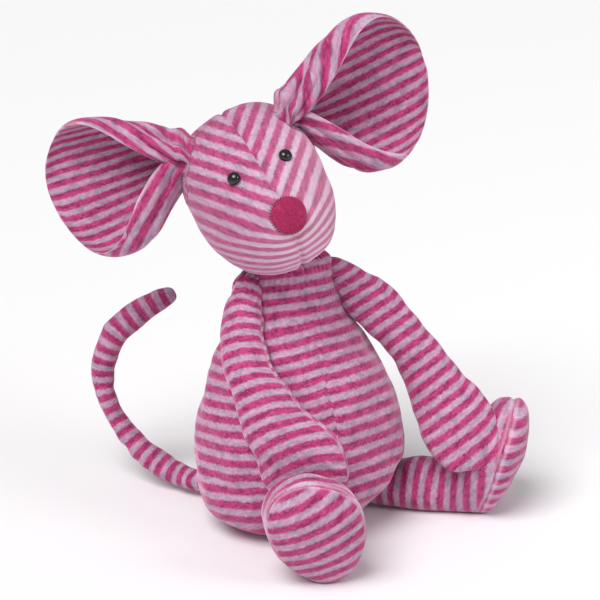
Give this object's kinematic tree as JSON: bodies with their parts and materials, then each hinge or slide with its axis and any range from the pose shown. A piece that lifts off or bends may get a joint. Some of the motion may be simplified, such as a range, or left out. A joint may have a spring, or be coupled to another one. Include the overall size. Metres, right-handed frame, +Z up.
{
  "type": "seated mouse soft toy",
  "caption": "Seated stuffed mouse in striped velour, with cupped round ears, long arms, upright feet and a curling tail.",
  "frame": {"origin": "middle of the body's flattened seat, on the floor", "axes": "+Z up, the body faces -Y, the toy's left side is at +X"},
  "size_m": [0.2163, 0.1354, 0.2367],
  "materials": {
    "striped_velour": "short knitted pile, rose stripes on heathered lilac grey",
    "nose_velour": "short plain pile",
    "eye_bead": "polished"
  },
  "bodies": {
    "root": {"body": "striped_velour", "head": "striped_velour", "nose": "nose_velour", "tail": "striped_velour", "ear_right": "striped_velour", "ear_left": "striped_velour", "eye_right": "eye_bead", "eye_left": "eye_bead", "leg_right": "striped_velour", "leg_left": "striped_velour", "arm_right": "striped_velour", "arm_left": "striped_velour"}
  },
  "joints": []
}
